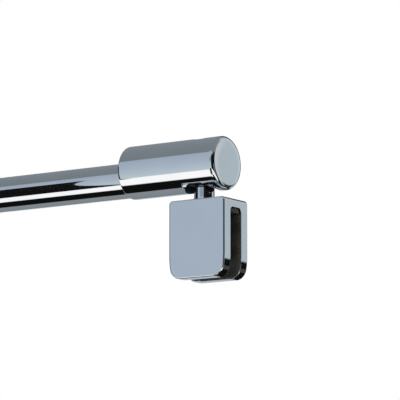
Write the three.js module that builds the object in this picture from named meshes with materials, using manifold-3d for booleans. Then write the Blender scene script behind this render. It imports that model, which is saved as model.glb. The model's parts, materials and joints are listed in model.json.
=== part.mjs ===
// Support bar for a glass panel: a round tube from a wall flange to a clamp that swivels on the glass.
//
// Millimetres, +Z up. The origin is the centre of the wall face, on the tube's axis. The tube runs
// along +X to the head, and the clamp hangs below the head with its plain front plate facing -Y.

import * as THREE from 'three';
import { mergeVertices } from 'three/addons/utils/BufferGeometryUtils.js';
import Module from 'manifold-3d';

const wasm = await Module();
wasm.setup();

// ---- driving dimensions ----

const GAP = 0.3; // running gap between a piece and the bore it sits in
const THIN_GAP = 0.1; // gap under a flat pad
const REACH = 400; // wall face to the axis that the clamp swivels on

const TUBE_RADIUS = 9.5;
const TUBE_WALL = 1.2;

const HEAD_RADIUS = 14.25;
const HEAD_LENGTH = 60.6;
const HEAD_RISE = 3.8; // the head's axis lies above the tube's axis
const PIVOT_TO_END = 14.8; // swivel axis to the head's outer end
const SOCKET_DEPTH = 30; // how far the tube goes into the head
const ROSE_FILLET = 1.7; // outer edge of the rose
const HEAD_FILLET = 2.3; // outer edge of the head's end face

const NECK_RADIUS = 5.4;
const POCKET_RADIUS = 10.1;
const POCKET_FLOOR = -10.6; // from the head's axis, down to the pocket's flat floor

const CLAMP_WIDTH = 34.5;
const CLAMP_DEPTH = 22.6;
const CLAMP_TOP = -19.25; // from the head's axis
const CLAMP_BOTTOM = -60.7;
const CLAMP_OFFSET = 2.5; // the clamp's middle lies past the swivel axis, away from the wall
const SLOT_WIDTH = 9.9;
const ROOF_THICKNESS = 4.9;
const PAD_THICKNESS = 0.8;
const PAD_INSET = 0.75; // pads stop short of the clamp's ends

const ROSE_RADIUS = 23;
const ROSE_DEPTH = 12;
const ROSE_WALL = 1.3;
const PLATE_RADIUS = 20.8;
const PLATE_THICKNESS = 3.5;
const WALL_SCREW_COUNT = 3;
const WALL_SCREW_CIRCLE = 15; // radius of the circle that the wall screws stand on

// ---- screw sizes ----

const M6 = { radius: 3.0, hole: 3.3, hexAcross: 3.0 };
const M5 = { radius: 2.5, hole: 2.8, hexAcross: 2.5 };
const CAP_SCREW = { headRadius: 5.0, headHeight: 6.0, shank: 30, hexAcross: 5.0, hexDepth: 3.0 };
const WALL_SCREW = { headRadius: 4.2, shankRadius: 2.0, length: 35, tip: 5, crossWidth: 1.0, crossDepth: 2.0 };
const WALL_PLUG = { radius: 3.4, bore: 2.3, length: 30 };

const FINE = 48; // sides of the large round pieces
const MEDIUM = 32;
const COARSE = 24; // sides of small screws and holes

// ---- solids ----

const AXES = {
  x: (geometry) => geometry.rotateZ(-Math.PI / 2),
  y: (geometry) => geometry,
  z: (geometry) => geometry.rotateX(Math.PI / 2),
};

// A round bar along one axis, from start to end.
function rod(axis, radius, start, end, sides = COARSE) {
  const geometry = new THREE.CylinderGeometry(radius, radius, end - start, sides);
  geometry.translate(0, (start + end) / 2, 0);
  return AXES[axis](geometry);
}

// A turned solid along one axis. Each profile point is [radius, distance along the axis].
function turned(axis, profile, sides = MEDIUM) {
  const points = profile.map(([radius, along]) => new THREE.Vector2(radius, along));
  return AXES[axis](new THREE.LatheGeometry(points, sides));
}

// A turned solid that closes on itself: a plain ring of rectangular section with small chamfers.
function ring(axis, inner, outer, start, end, chamfer, sides = MEDIUM) {
  return turned(axis, [
    [inner, start],
    [outer - chamfer, start],
    [outer, start + chamfer],
    [outer, end - chamfer],
    [outer - chamfer, end],
    [inner, end],
    [inner, start],
  ], sides);
}

function box(low, high) {
  const size = high.map((value, i) => value - low[i]);
  const middle = high.map((value, i) => (value + low[i]) / 2);
  return new THREE.BoxGeometry(...size).translate(...middle);
}

// Points of an arc in a profile, as [radius, distance along the axis].
function arc(centreRadius, centreAlong, radius, fromDegrees, toDegrees, steps) {
  const points = [];
  for (let i = 0; i <= steps; i += 1) {
    const angle = THREE.MathUtils.degToRad(fromDegrees + ((toDegrees - fromDegrees) * i) / steps);
    points.push([centreRadius + radius * Math.cos(angle), centreAlong + radius * Math.sin(angle)]);
  }
  return points;
}

// A rectangle with its own corner radius at the top and at the bottom.
function roundedOutline(halfWidth, bottom, top, bottomRadius, topRadius) {
  const shape = new THREE.Shape();
  shape.moveTo(-halfWidth + bottomRadius, bottom);
  shape.lineTo(halfWidth - bottomRadius, bottom);
  shape.absarc(halfWidth - bottomRadius, bottom + bottomRadius, bottomRadius, -Math.PI / 2, 0, false);
  shape.absarc(halfWidth - topRadius, top - topRadius, topRadius, 0, Math.PI / 2, false);
  shape.absarc(-halfWidth + topRadius, top - topRadius, topRadius, Math.PI / 2, Math.PI, false);
  shape.absarc(-halfWidth + bottomRadius, bottom + bottomRadius, bottomRadius, Math.PI, Math.PI * 1.5, false);
  return shape;
}

// A plate whose outline stands in the XZ plane, between two Y values, with rounded edges.
function upright(shape, front, back, edge = 0, curveSegments = 6) {
  const geometry = new THREE.ExtrudeGeometry(shape, {
    depth: back - front - 2 * edge,
    curveSegments,
    bevelEnabled: edge > 0,
    bevelThickness: edge,
    bevelSize: edge,
    bevelOffset: -edge,
    bevelSegments: 3,
  });
  return geometry.rotateX(Math.PI / 2).translate(0, back - edge, 0);
}

function toManifold(geometry) {
  const bare = geometry.clone();
  bare.deleteAttribute('normal');
  bare.deleteAttribute('uv');
  const merged = mergeVertices(bare, 1e-4);
  return new wasm.Manifold(new wasm.Mesh({
    numProp: 3,
    vertProperties: new Float32Array(merged.attributes.position.array),
    triVerts: new Uint32Array(merged.index.array),
  }));
}

function toGeometry(solid) {
  const mesh = solid.getMesh();
  const geometry = new THREE.BufferGeometry();
  geometry.setAttribute('position', new THREE.BufferAttribute(mesh.vertProperties, 3));
  geometry.setIndex(new THREE.BufferAttribute(mesh.triVerts, 1));
  return geometry;
}

// Cuts every tool out of a body.
function cut(body, tools) {
  let solid = toManifold(body);
  for (const tool of tools) {
    solid = solid.subtract(toManifold(tool));
  }
  return toGeometry(solid);
}

// The tool that cuts a hexagon socket, down from the end of a screw that stands along +Z.
function hexSocket(across, depth, top) {
  const cornerRadius = across / Math.sqrt(3);
  return rod('z', cornerRadius, top - depth, top + 1, 6);
}

// ---- wall end ----

const HUB_RADIUS = TUBE_RADIUS - TUBE_WALL - GAP; // the plate's spigot, inside the tube
const HUB_END = 24;
const TUBE_START = PLATE_THICKNESS + GAP;
const RETAINER_X = 8.2; // the screw that holds the tube on the spigot, hidden by the rose
const O_RING_SECTION = 0.9;
const O_RING_RADIUS = 20.45;
const O_RING_X = 1.8;
const GROOVE_RADIUS = 19.2;
const GROOVE_HALF_WIDTH = 1.2;

function wallPlate() {
  const body = turned('x', [
    [0, 0],
    [PLATE_RADIUS, 0],
    [PLATE_RADIUS, O_RING_X - GROOVE_HALF_WIDTH],
    [GROOVE_RADIUS, O_RING_X - GROOVE_HALF_WIDTH],
    [GROOVE_RADIUS, O_RING_X + GROOVE_HALF_WIDTH],
    [PLATE_RADIUS, O_RING_X + GROOVE_HALF_WIDTH],
    [PLATE_RADIUS, PLATE_THICKNESS],
    [HUB_RADIUS, PLATE_THICKNESS],
    [HUB_RADIUS, HUB_END - 1],
    [HUB_RADIUS - 1, HUB_END],
    [0, HUB_END],
  ], FINE);
  const retainerHole = rod('z', M5.hole, -HUB_RADIUS - 1, -2).translate(RETAINER_X, 0, 0);
  const screwHoles = wallScrewPlaces().map((place) => countersunkHole().translate(0, ...place));
  return cut(body, [retainerHole, ...screwHoles]);
}

// [y, z] of each wall screw. The first stands straight above the tube.
function wallScrewPlaces() {
  return Array.from({ length: WALL_SCREW_COUNT }, (_, i) => {
    const angle = Math.PI / 2 + (2 * Math.PI * i) / WALL_SCREW_COUNT;
    return [WALL_SCREW_CIRCLE * Math.cos(angle), WALL_SCREW_CIRCLE * Math.sin(angle)];
  });
}

function countersunkHole() {
  const mouth = WALL_SCREW.headRadius + GAP;
  const throat = WALL_SCREW.shankRadius + GAP;
  const coneEnd = PLATE_THICKNESS - (mouth - throat);
  return turned('x', [
    [0, -1],
    [throat, -1],
    [throat, coneEnd],
    [mouth, PLATE_THICKNESS],
    [mouth, PLATE_THICKNESS + 1],
    [0, PLATE_THICKNESS + 1],
  ], COARSE);
}

// A countersunk screw along X, its head flush with the plate and its point in the wall.
function wallScrew() {
  const { headRadius, shankRadius, length, tip, crossWidth, crossDepth } = WALL_SCREW;
  const top = PLATE_THICKNESS - 0.2;
  const body = turned('x', [
    [0, top - length],
    [shankRadius, top - length + tip],
    [shankRadius, top - (headRadius - shankRadius)],
    [headRadius, top],
    [0, top],
  ], COARSE);
  const arm = headRadius * 0.6;
  const half = crossWidth / 2;
  return cut(body, [
    box([top - crossDepth, -arm, -half], [top + 1, arm, half]),
    box([top - crossDepth, -half, -arm], [top + 1, half, arm]),
  ]);
}

// A plug in the wall around a screw: a short collar, then a sleeve that narrows to its far end.
function wallPlug() {
  const { radius, bore, length } = WALL_PLUG;
  const end = -GAP;
  return turned('x', [
    [bore, end],
    [bore, end - length],
    [radius - 0.6, end - length],
    [radius, end - length + 4],
    [radius, end - 1.2],
    [radius + 0.5, end - 1.0],
    [radius + 0.5, end],
    [bore, end],
  ], COARSE);
}

function plateORing() {
  return new THREE.TorusGeometry(O_RING_RADIUS, O_RING_SECTION, 8, FINE)
    .rotateY(Math.PI / 2)
    .translate(O_RING_X, 0, 0);
}

const GRIP_RING = { inner: TUBE_RADIUS + GAP, outer: 11.8, start: 8.1, end: 10.4 };
const COLLAR_RADIUS = 13.3;

// The cover over the wall plate: a cup with a rounded front edge, and a collar for the grip ring.
function coverRose() {
  const back = GAP;
  const inside = ROSE_RADIUS - ROSE_WALL;
  const ceiling = ROSE_DEPTH - ROSE_WALL;
  const collarBore = GRIP_RING.outer + GAP;
  return turned('x', [
    [inside, back],
    [ROSE_RADIUS - 0.3, back],
    [ROSE_RADIUS, back + 0.3],
    ...arc(ROSE_RADIUS - ROSE_FILLET, ROSE_DEPTH - ROSE_FILLET, ROSE_FILLET, 0, 90, 5),
    [TUBE_RADIUS + GAP, ROSE_DEPTH],
    [TUBE_RADIUS + GAP, ceiling],
    [collarBore, ceiling],
    [collarBore, GRIP_RING.start - GAP],
    [COLLAR_RADIUS, GRIP_RING.start - GAP],
    [COLLAR_RADIUS, ceiling],
    [inside - 1, ceiling],
    [inside, ceiling - 1],
    [inside, back],
  ], FINE);
}

function roseGripRing() {
  return ring('x', GRIP_RING.inner, GRIP_RING.outer, GRIP_RING.start, GRIP_RING.end, 0.3, MEDIUM);
}

// A headless screw along Z with a hexagon socket in its top end.
function setScrew({ radius, hexAcross }, length) {
  const body = turned('z', [
    [0, 0],
    [radius - 0.9, 0],
    [radius, 0.9],
    [radius, length - 0.4],
    [radius - 0.4, length],
    [0, length],
  ], COARSE);
  return cut(body, [hexSocket(hexAcross, length * 0.5, length)]);
}

// ---- tube ----

const HEAD_START = REACH + PIVOT_TO_END - HEAD_LENGTH;
const TUBE_END = HEAD_START + SOCKET_DEPTH - GAP;

function supportTube() {
  const body = ring('x', TUBE_RADIUS - TUBE_WALL, TUBE_RADIUS, TUBE_START, TUBE_END, 0.2, FINE);
  const retainerHole = rod('z', M5.hole, -TUBE_RADIUS - 1, -TUBE_RADIUS + 2 * TUBE_WALL)
    .translate(RETAINER_X, 0, 0);
  return cut(body, [retainerHole]);
}

// The core that keeps the tube round where the head's screw presses on it.
function tubeCore() {
  const radius = HUB_RADIUS;
  const start = HEAD_START + 1;
  return turned('x', [
    [0, start],
    [radius - 1, start],
    [radius, start + 1],
    [radius, TUBE_END - 1],
    [radius - 1, TUBE_END],
    [0, TUBE_END],
  ], MEDIUM);
}

// ---- head: its own zero is where the swivel axis crosses the head's axis ----

const INNER_END = PIVOT_TO_END - HEAD_LENGTH;
const SOCKET_RADIUS = TUBE_RADIUS + 0.2;
const TUBE_SCREW_X = INNER_END + 12;
const TUBE_SCREW_LENGTH = 8;
const BUSH_RADIUS = 4.0;
const COUNTERBORE_RADIUS = 5.5;
const COUNTERBORE_FLOOR = 5.4;
const WASHER_THICKNESS = 0.7;
const SCREW_SEAT = COUNTERBORE_FLOOR + WASHER_THICKNESS + 2 * GAP;
const FACE_CROWN = 0.2; // the outer face is flat in the middle and falls away towards its edge
const FACE_FLAT_RADIUS = 8;

// The outer face: a fillet, then a shallow dome that runs into the flat middle.
function headFaceProfile() {
  const shoulder = HEAD_RADIUS - HEAD_FILLET;
  const domeWidth = shoulder - FACE_FLAT_RADIUS;
  const slope = THREE.MathUtils.radToDeg(Math.atan((2 * FACE_CROWN) / domeWidth));
  const fillet = arc(shoulder, PIVOT_TO_END - FACE_CROWN - HEAD_FILLET, HEAD_FILLET, 0, 90 - slope, 7);
  const dome = [];
  const steps = 4;
  for (let i = 1; i <= steps; i += 1) {
    const left = 1 - i / steps;
    dome.push([FACE_FLAT_RADIUS + domeWidth * left, PIVOT_TO_END - FACE_CROWN * left ** 2]);
  }
  return [...fillet, ...dome];
}

function headBody() {
  const body = turned('x', [
    [0, INNER_END],
    [HEAD_RADIUS - 0.3, INNER_END],
    [HEAD_RADIUS, INNER_END + 0.3],
    ...headFaceProfile(),
    [0, PIVOT_TO_END],
  ], FINE);
  const above = HEAD_RADIUS + 1;
  return cut(body, [
    rod('x', SOCKET_RADIUS, INNER_END - 1, INNER_END + SOCKET_DEPTH, FINE).translate(0, 0, -HEAD_RISE),
    rod('z', M6.hole, -HEAD_RISE, above).translate(TUBE_SCREW_X, 0, 0),
    rod('z', BUSH_RADIUS + GAP, -above, above, MEDIUM),
    rod('z', COUNTERBORE_RADIUS, COUNTERBORE_FLOOR, above, MEDIUM),
    rod('z', POCKET_RADIUS, -above, POCKET_FLOOR, MEDIUM),
  ]);
}

function pivotBush() {
  return ring('z', M6.hole, BUSH_RADIUS, POCKET_FLOOR + GAP, COUNTERBORE_FLOOR - GAP, 0.2, COARSE);
}

// ---- clamp: the same zero as the head, and it turns about Z there ----

const NECK_WASHER = { radius: 4.5, thickness: 0.8 };
const NECK_TOP = POCKET_FLOOR - NECK_WASHER.thickness - 2 * GAP;
const SLOT_TOP = CLAMP_TOP - ROOF_THICKNESS;
const SLOT_CORNER = 2.0;
const ROOF_PAD_THICKNESS = 2.6;
const ROOF_PAD_CORNER = 1.3; // clears the slot's rounded corners
const PAD_TOP = SLOT_TOP - ROOF_PAD_THICKNESS - 2 * GAP;
const PAD_BOTTOM = CLAMP_BOTTOM + PAD_INSET;
const CORNER_RADIUS = { bottom: 6.3, top: 2.0 };
const SIDE_LEAN = { degrees: 8, height: 7 }; // each side curves in a little above its bottom corner
const CLAMP_EDGE = 0.85;
const PRESSURE_PLATE = { halfWidth: 12, top: -30, bottom: -52, thickness: 1.2, corner: 2 };
const RECESS_DEPTH = 1.45;
const CLAMP_SCREW_Z = { upper: -35, lower: -47 };
const CLAMP_SCREW_LENGTH = 4.4;

const HALF_SLOT = SLOT_WIDTH / 2;
const PAD_HALF_WIDTH = CLAMP_WIDTH / 2 - PAD_INSET;

function pivotScrew() {
  const { headRadius, headHeight, shank, hexAcross, hexDepth } = CAP_SCREW;
  const top = SCREW_SEAT + headHeight;
  const end = SCREW_SEAT - shank;
  const body = turned('z', [
    [0, end],
    [M6.radius - 0.6, end],
    [M6.radius, end + 0.6],
    [M6.radius, SCREW_SEAT],
    [headRadius, SCREW_SEAT],
    [headRadius, top - 0.6],
    [headRadius - 0.6, top],
    [0, top],
  ], MEDIUM);
  return cut(body, [hexSocket(hexAcross, hexDepth, top)]);
}

function pivotWasher() {
  const bottom = COUNTERBORE_FLOOR + GAP;
  return ring('z', M6.hole, COUNTERBORE_RADIUS - GAP, bottom, bottom + WASHER_THICKNESS, 0.1, COARSE);
}

function neckWasher() {
  const top = POCKET_FLOOR - GAP;
  return ring('z', M6.hole, NECK_WASHER.radius, top - NECK_WASHER.thickness, top, 0.1, COARSE);
}

function clampNeck() {
  return ring('z', M6.hole, NECK_RADIUS, CLAMP_TOP + GAP, NECK_TOP, 0.3, FINE);
}

// The slot's section, in YZ, turned so that it runs through the clamp along X.
function slotTool() {
  const section = roundedOutline(HALF_SLOT, CLAMP_BOTTOM - 5, SLOT_TOP, 0.5, SLOT_CORNER);
  const reach = CLAMP_WIDTH;
  return upright(section, -reach, reach).rotateZ(Math.PI / 2);
}

function plateOutline(grow) {
  const { halfWidth, top, bottom, corner } = PRESSURE_PLATE;
  return roundedOutline(halfWidth + grow, bottom - grow, top + grow, corner, corner);
}

function clampOutline() {
  const { bottom, top } = CORNER_RADIUS;
  const halfWidth = CLAMP_WIDTH / 2;
  const lean = THREE.MathUtils.degToRad(SIDE_LEAN.degrees);
  const inset = (SIDE_LEAN.height * Math.tan(lean)) / 2;
  const cornerX = halfWidth - inset - bottom * Math.cos(lean);
  const cornerZ = CLAMP_BOTTOM + bottom;
  const leanEnd = cornerZ - bottom * Math.sin(lean);
  const leanMiddle = leanEnd + SIDE_LEAN.height / 2;
  const leanStart = leanEnd + SIDE_LEAN.height;
  const shape = new THREE.Shape();
  shape.moveTo(-cornerX, CLAMP_BOTTOM);
  shape.lineTo(cornerX, CLAMP_BOTTOM);
  shape.absarc(cornerX, cornerZ, bottom, -Math.PI / 2, -lean, false);
  shape.quadraticCurveTo(halfWidth, leanMiddle, halfWidth, leanStart);
  shape.absarc(halfWidth - top, CLAMP_TOP - top, top, 0, Math.PI / 2, false);
  shape.absarc(-halfWidth + top, CLAMP_TOP - top, top, Math.PI / 2, Math.PI, false);
  shape.lineTo(-halfWidth, leanStart);
  shape.quadraticCurveTo(-halfWidth, leanMiddle, -halfWidth + inset, leanEnd);
  shape.absarc(-cornerX, cornerZ, bottom, Math.PI + lean, Math.PI * 1.5, false);
  return shape;
}

// An upside-down U of two plates and a roof, with a recess in the rear plate for the pressure plate.
function clampBody() {
  const body = upright(clampOutline(), -CLAMP_DEPTH / 2, CLAMP_DEPTH / 2, CLAMP_EDGE, 7);
  const screwHoles = Object.values(CLAMP_SCREW_Z).map(
    (z) => rod('y', M6.hole, HALF_SLOT, CLAMP_DEPTH).translate(0, 0, z),
  );
  return cut(body, [
    slotTool(),
    upright(plateOutline(GAP), HALF_SLOT - 1, HALF_SLOT + RECESS_DEPTH),
    rod('z', M6.hole, SLOT_TOP - 1, CLAMP_TOP + 1).translate(-CLAMP_OFFSET, 0, 0),
    ...screwHoles,
  ]);
}

function padOutline() {
  return roundedOutline(PAD_HALF_WIDTH, PAD_BOTTOM, PAD_TOP, CORNER_RADIUS.bottom - PAD_INSET, 0.5);
}

function frontPad() {
  const back = -HALF_SLOT + THIN_GAP + PAD_THICKNESS;
  return upright(padOutline(), back - PAD_THICKNESS, back);
}

function rearPad() {
  const front = HALF_SLOT - THIN_GAP - PAD_THICKNESS;
  return upright(padOutline(), front, front + PAD_THICKNESS);
}

// The buffer that the glass edge meets. It is as wide as the space between the other two pads.
function roofPad() {
  const halfDepth = HALF_SLOT - PAD_THICKNESS - 2 * THIN_GAP;
  const top = SLOT_TOP - THIN_GAP;
  const section = roundedOutline(halfDepth, top - ROOF_PAD_THICKNESS, top, 0.4, ROOF_PAD_CORNER);
  return upright(section, -PAD_HALF_WIDTH, PAD_HALF_WIDTH).rotateZ(Math.PI / 2);
}

function pressurePlate() {
  const front = HALF_SLOT + THIN_GAP;
  return upright(plateOutline(0), front, front + PRESSURE_PLATE.thickness);
}

// ---- materials ----

function metal(color, roughness) {
  return new THREE.MeshStandardMaterial({ color, roughness, metalness: 1 });
}

function plastic(color, roughness) {
  return new THREE.MeshStandardMaterial({ color, roughness, metalness: 0 });
}

const FINISHES = {
  chrome: () => metal(0xd7dbe0, 0.05),
  stainless: () => metal(0xb4b6b8, 0.3),
  zincSteel: () => metal(0xa6a8a4, 0.35),
  blackSteel: () => metal(0x2a2b2d, 0.4),
  rubber: () => plastic(0x26251f, 0.75),
  nylon: () => plastic(0xd9d6cc, 0.5),
  greyNylon: () => plastic(0x8f9294, 0.55),
};

// ---- assembly ----

function named(name, geometry, finish) {
  const mesh = new THREE.Mesh(geometry, FINISHES[finish]());
  mesh.name = name;
  return mesh;
}

function wallEnd() {
  const group = new THREE.Group();
  group.add(
    named('wall_plate', wallPlate(), 'stainless'),
    named('plate_o_ring', plateORing(), 'rubber'),
    named('cover_rose', coverRose(), 'chrome'),
    named('rose_grip_ring', roseGripRing(), 'rubber'),
  );
  wallScrewPlaces().forEach(([y, z], i) => {
    const screw = named(`wall_screw_${i + 1}`, wallScrew(), 'zincSteel');
    const plug = named(`wall_plug_${i + 1}`, wallPlug(), 'greyNylon');
    screw.position.set(0, y, z);
    plug.position.set(0, y, z);
    group.add(screw, plug);
  });
  const retainer = named('tube_retaining_screw', setScrew(M5, 6), 'blackSteel');
  retainer.position.set(RETAINER_X, 0, -2 - GAP);
  retainer.rotation.x = Math.PI;
  group.add(retainer);
  return group;
}

function tube() {
  const group = new THREE.Group();
  group.add(
    named('support_tube', supportTube(), 'chrome'),
    named('tube_core', tubeCore(), 'nylon'),
  );
  return group;
}

function head() {
  const group = new THREE.Group();
  group.position.set(REACH, 0, HEAD_RISE);
  const tubeScrew = named('head_set_screw', setScrew(M6, TUBE_SCREW_LENGTH), 'blackSteel');
  tubeScrew.position.set(TUBE_SCREW_X, 0, TUBE_RADIUS + GAP - HEAD_RISE);
  group.add(
    named('head_body', headBody(), 'chrome'),
    named('pivot_bush', pivotBush(), 'nylon'),
    tubeScrew,
  );
  return group;
}

function clamp() {
  const group = new THREE.Group();
  group.position.set(REACH, 0, HEAD_RISE);
  group.add(
    named('pivot_screw', pivotScrew(), 'stainless'),
    named('pivot_washer', pivotWasher(), 'stainless'),
    named('neck_washer', neckWasher(), 'stainless'),
    named('clamp_neck', clampNeck(), 'chrome'),
  );

  const jaws = new THREE.Group();
  jaws.position.x = CLAMP_OFFSET;
  jaws.add(
    named('clamp_body', clampBody(), 'chrome'),
    named('front_pad', frontPad(), 'rubber'),
    named('rear_pad', rearPad(), 'rubber'),
    named('roof_pad', roofPad(), 'rubber'),
    named('pressure_plate', pressurePlate(), 'stainless'),
  );
  for (const [place, z] of Object.entries(CLAMP_SCREW_Z)) {
    const screw = named(`clamp_screw_${place}`, setScrew(M6, CLAMP_SCREW_LENGTH), 'blackSteel');
    screw.position.set(0, HALF_SLOT + RECESS_DEPTH + THIN_GAP, z);
    screw.rotation.x = -Math.PI / 2;
    jaws.add(screw);
  }
  group.add(jaws);
  return group;
}

const supportBar = new THREE.Group();
supportBar.add(wallEnd(), tube(), head(), clamp());

export default supportBar;
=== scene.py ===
"""Looks of the glass panel support bar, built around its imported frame. Metres, +Z up."""

import json
import math

import bmesh
import bpy
from mathutils import Matrix, Vector


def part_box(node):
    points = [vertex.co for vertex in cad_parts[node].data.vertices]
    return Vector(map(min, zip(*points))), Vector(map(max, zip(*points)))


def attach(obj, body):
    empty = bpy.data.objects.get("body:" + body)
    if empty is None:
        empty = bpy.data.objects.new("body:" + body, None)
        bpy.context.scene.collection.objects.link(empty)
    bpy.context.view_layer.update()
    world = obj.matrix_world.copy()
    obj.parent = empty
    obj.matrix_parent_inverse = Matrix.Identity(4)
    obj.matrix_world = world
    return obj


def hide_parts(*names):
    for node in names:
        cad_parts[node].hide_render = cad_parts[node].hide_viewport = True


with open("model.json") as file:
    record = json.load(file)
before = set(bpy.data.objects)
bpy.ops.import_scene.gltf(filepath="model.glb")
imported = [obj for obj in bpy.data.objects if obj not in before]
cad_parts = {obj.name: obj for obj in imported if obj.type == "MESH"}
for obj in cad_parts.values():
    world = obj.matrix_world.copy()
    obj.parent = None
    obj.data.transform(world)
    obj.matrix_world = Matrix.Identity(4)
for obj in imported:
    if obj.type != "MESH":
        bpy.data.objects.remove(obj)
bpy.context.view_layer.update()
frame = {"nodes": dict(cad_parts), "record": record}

MM = 0.001

# ---- places and sizes, read from the frame ----

HEAD_LOW, HEAD_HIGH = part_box("head_body")
CLAMP_LOW, CLAMP_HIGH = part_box("clamp_body")
NECK_LOW, NECK_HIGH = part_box("clamp_neck")
PIVOT_X = (NECK_LOW.x + NECK_HIGH.x) / 2
HEAD_Z = (HEAD_LOW.z + HEAD_HIGH.z) / 2
HEAD_RADIUS = (HEAD_HIGH.z - HEAD_LOW.z) / 2
CLAMP_X = (CLAMP_LOW.x + CLAMP_HIGH.x) / 2

# ---- sizes of features that the boxes don't show, the same as in the CAD model ----

ROSE_FILLET = 1.7 * MM
HEAD_FILLET = 2.3 * MM
FACE_CROWN = 0.2 * MM
FACE_FLAT_RADIUS = 8 * MM
SOCKET_RADIUS = 9.7 * MM
SOCKET_DEPTH = 30 * MM
POCKET_RADIUS = 10.1 * MM
POCKET_FLOOR = -10.6 * MM  # from the head's axis
COUNTERBORE_RADIUS = 5.5 * MM
COUNTERBORE_FLOOR = 5.4 * MM
PIVOT_BORE_RADIUS = 4.3 * MM
M6_HOLE_RADIUS = 3.3 * MM
M5_HOLE_RADIUS = 2.8 * MM
SLOT_HALF_WIDTH = 4.95 * MM
SLOT_CORNER = 2.0 * MM
ROOF_THICKNESS = 4.9 * MM
BOTTOM_CORNER = 6.3 * MM
TOP_CORNER = 2.0 * MM
SIDE_LEAN = math.radians(8)  # each side of the clamp curves in this much above its bottom corner
SIDE_LEAN_HEIGHT = 7 * MM
CLAMP_EDGE = 0.85 * MM
RECESS_DEPTH = 1.45 * MM
PLATE_CORNER = 2 * MM  # of the pressure plate and of its recess
PAD_CORNER = 5.55 * MM
ROOF_PAD_CORNER = 1.3 * MM
ROSE_WALL = 1.3 * MM
ROSE_COLLAR_RADIUS = 13.3 * MM
TUBE_WALL = 1.2 * MM
M5_HEX = 2.5 * MM  # across the flats of each set screw's socket
M6_HEX = 3.0 * MM
CAP_HEX = 5.0 * MM  # across the flats of the pivot screw's socket
GAP = 0.3 * MM  # between a piece and the one beside it

# ---- allowances, and details that the CAD model leaves out ----

THREAD_PITCH = 1.0 * MM
THREAD_DEPTH = 0.5 * MM
PAD_EDGE = 0.2 * MM
SLOT_EDGE = 0.25 * MM
OVERCUT = 1 * MM  # how far a cutter reaches past the face that it cuts
ON_AXIS = 1e-9  # a profile point nearer to the axis than this lies on it
WELD = 1e-7  # corners nearer together than this become one


# ---- mesh helpers ----

AXIS_TURNS = {
    "x": Matrix.Rotation(math.radians(90), 4, "Y"),
    "y": Matrix.Rotation(math.radians(-90), 4, "X"),
    "z": Matrix.Identity(4),
}


def object_from(bm, name, sharp_degrees=32):
    """Turns a bmesh into a smooth-shaded object whose edges over an angle stay sharp."""
    bmesh.ops.remove_doubles(bm, verts=bm.verts, dist=WELD)
    bmesh.ops.recalc_face_normals(bm, faces=bm.faces)
    mesh = bpy.data.meshes.new(name)
    bm.to_mesh(mesh)
    bm.free()
    shade(mesh, sharp_degrees)
    piece = bpy.data.objects.new(name, mesh)
    bpy.context.scene.collection.objects.link(piece)
    return piece


def shade(mesh, sharp_degrees=32):
    mesh.shade_smooth()
    mesh.set_sharp_from_angle(angle=math.radians(sharp_degrees))


def turned(name, profile, axis="z", centre=(0, 0, 0), sides=128):
    """A solid of revolution. Each profile point is (radius, distance along the axis); the profile is
    a closed loop, or runs from the axis back to the axis."""
    bm = bmesh.new()
    rings = []
    for radius, along in profile:
        if radius < ON_AXIS:
            rings.append([bm.verts.new((0, 0, along))])
            continue
        rings.append([
            bm.verts.new((
                radius * math.cos(2 * math.pi * i / sides),
                radius * math.sin(2 * math.pi * i / sides),
                along,
            ))
            for i in range(sides)
        ])
    pairs = list(zip(rings, rings[1:]))
    if profile[0][0] >= ON_AXIS:
        pairs.append((rings[-1], rings[0]))
    for lower, upper in pairs:
        join_rings(bm, lower, upper, sides)
    bm.transform(Matrix.Translation(centre) @ AXIS_TURNS[axis])
    return object_from(bm, name)


def join_rings(bm, lower, upper, sides):
    """Fills between two rings. Where one of them is a single point, the faces are triangles."""
    for i in range(sides):
        j = (i + 1) % sides
        quad = (
            lower[i % len(lower)],
            lower[j % len(lower)],
            upper[j % len(upper)],
            upper[i % len(upper)],
        )
        corners = list(dict.fromkeys(quad))
        if len(corners) > 2:
            bm.faces.new(corners)


def arc(centre, radius, start_degrees, end_degrees, steps=8):
    """Points of an arc in a profile, as (radius, distance along the axis)."""
    points = []
    for i in range(steps + 1):
        angle = math.radians(start_degrees + (end_degrees - start_degrees) * i / steps)
        points.append((centre[0] + radius * math.cos(angle), centre[1] + radius * math.sin(angle)))
    return points


def spaced(start, end, step):
    """Points from start to end, no further apart than step, so that a long face is made of short ones."""
    count = max(1, math.ceil(math.dist(start, end) / step))
    return [
        tuple(a + (b - a) * i / count for a, b in zip(start, end))
        for i in range(count + 1)
    ]


def ring_profile(inner, outer, start, end, edge):
    """A rectangular section with rounded edges, for a sleeve, a spacer or a washer."""
    return [
        *arc((outer - edge, start + edge), edge, -90, 0, 5),
        *arc((outer - edge, end - edge), edge, 0, 90, 5),
        *arc((inner + edge, end - edge), edge, 90, 180, 5),
        *arc((inner + edge, start + edge), edge, 180, 270, 5),
    ]


def rounded_outline(half_width, bottom, top, bottom_radius, top_radius, steps=14):
    """A rectangle with one corner radius below and another above, as (across, up) points."""
    corners = [
        (half_width - bottom_radius, bottom + bottom_radius, bottom_radius, -90),
        (half_width - top_radius, top - top_radius, top_radius, 0),
        (-half_width + top_radius, top - top_radius, top_radius, 90),
        (-half_width + bottom_radius, bottom + bottom_radius, bottom_radius, 180),
    ]
    points = []
    for across, up, radius, start in corners:
        points += arc((across, up), radius, start, start + 90, steps)
    return points


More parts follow.
